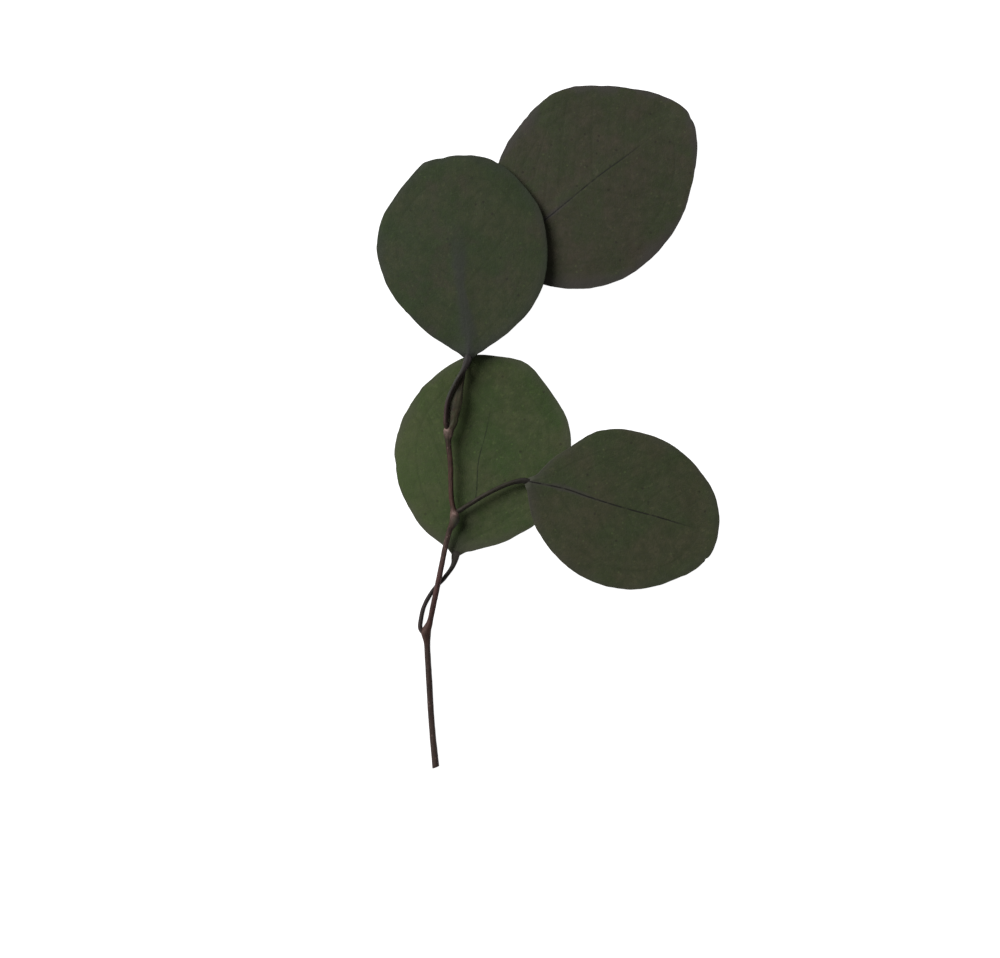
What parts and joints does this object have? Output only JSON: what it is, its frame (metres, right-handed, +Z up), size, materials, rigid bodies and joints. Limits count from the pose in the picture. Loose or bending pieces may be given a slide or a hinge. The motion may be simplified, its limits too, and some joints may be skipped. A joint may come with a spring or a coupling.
{
  "type": "eucalyptus branch",
  "caption": "Cut sprig of preserved eucalyptus lying flat: a slim woody stem with round, thin, dark green leaves on short stalks.",
  "frame": {"origin": "on the surface it lies on, under the middle of the sprig's rectangle", "axes": "+Y from the cut end of the stem to the leaves, +X to the right, +Z up from the surface"},
  "size_m": [0.1026, 0.2043, 0.0075],
  "materials": {
    "stem_bark": "matt thin bark, dark brown at the cut end and red-brown further up",
    "stalk_bark": "matt, finely ridged, grey-green to red-brown",
    "leaf_green": "preserved leaf, soft satin, mid green with a grey bloom at the margin",
    "leaf_olive": "preserved leaf, soft satin, dark olive green with a grey-purple bloom at the margin and midrib"
  },
  "bodies": {
    "root": {"main_stem": "stem_bark", "leaf_1_petiole": "stalk_bark", "leaf_1_blade": "leaf_green", "leaf_2_petiole": "stalk_bark", "leaf_2_blade": "leaf_olive", "leaf_3_petiole": "stalk_bark", "leaf_3_blade": "leaf_olive", "leaf_4_petiole": "stalk_bark", "leaf_4_blade": "leaf_olive"}
  },
  "joints": []
}
